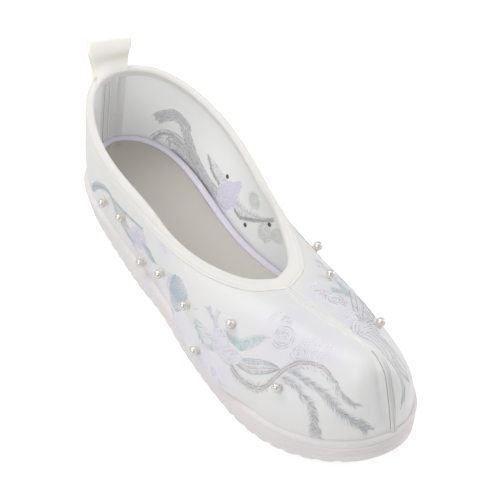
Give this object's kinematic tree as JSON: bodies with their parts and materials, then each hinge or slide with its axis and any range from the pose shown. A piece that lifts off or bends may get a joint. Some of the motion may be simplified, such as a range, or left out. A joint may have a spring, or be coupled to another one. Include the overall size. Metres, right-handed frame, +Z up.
{
  "type": "embroidered cloth shoe",
  "caption": "Slip-on cloth shoe of white satin with bound collar, heel pull loop, traditional bird and cloud embroidery, sewn pearls and a pale moulded sole.",
  "frame": {"origin": "centre of the shoe's box in plan, on the floor that its sole stands on", "axes": "+Z up, -Y towards the toe, +X towards the inner side of this right shoe"},
  "size_m": [0.0882, 0.248, 0.0915],
  "materials": {
    "sole_rubber": "pale moulded rubber, satin",
    "white_satin": "white satin weave, soft sheen",
    "footbed_cloth": "beige footbed cloth, matt",
    "lilac_tape": "lilac edging tape, matt",
    "ivory_tape": "ivory cotton tape, ribbed, matt",
    "pearl": "pearl, glossy"
  },
  "bodies": {
    "root": {"outsole": "sole_rubber", "upper": "white_satin", "insole": "footbed_cloth", "insole_edging": "lilac_tape", "collar_binding": "ivory_tape", "pull_loop": "ivory_tape", "pearl_outer_1": "pearl", "pearl_inner_1": "pearl", "pearl_outer_2": "pearl", "pearl_inner_2": "pearl", "pearl_outer_3": "pearl", "pearl_inner_3": "pearl", "pearl_outer_4": "pearl", "pearl_inner_4": "pearl", "pearl_outer_5": "pearl", "pearl_inner_5": "pearl", "pearl_outer_6": "pearl", "pearl_inner_6": "pearl", "pearl_outer_7": "pearl", "pearl_inner_7": "pearl", "pearl_outer_8": "pearl", "pearl_inner_8": "pearl"}
  },
  "joints": []
}
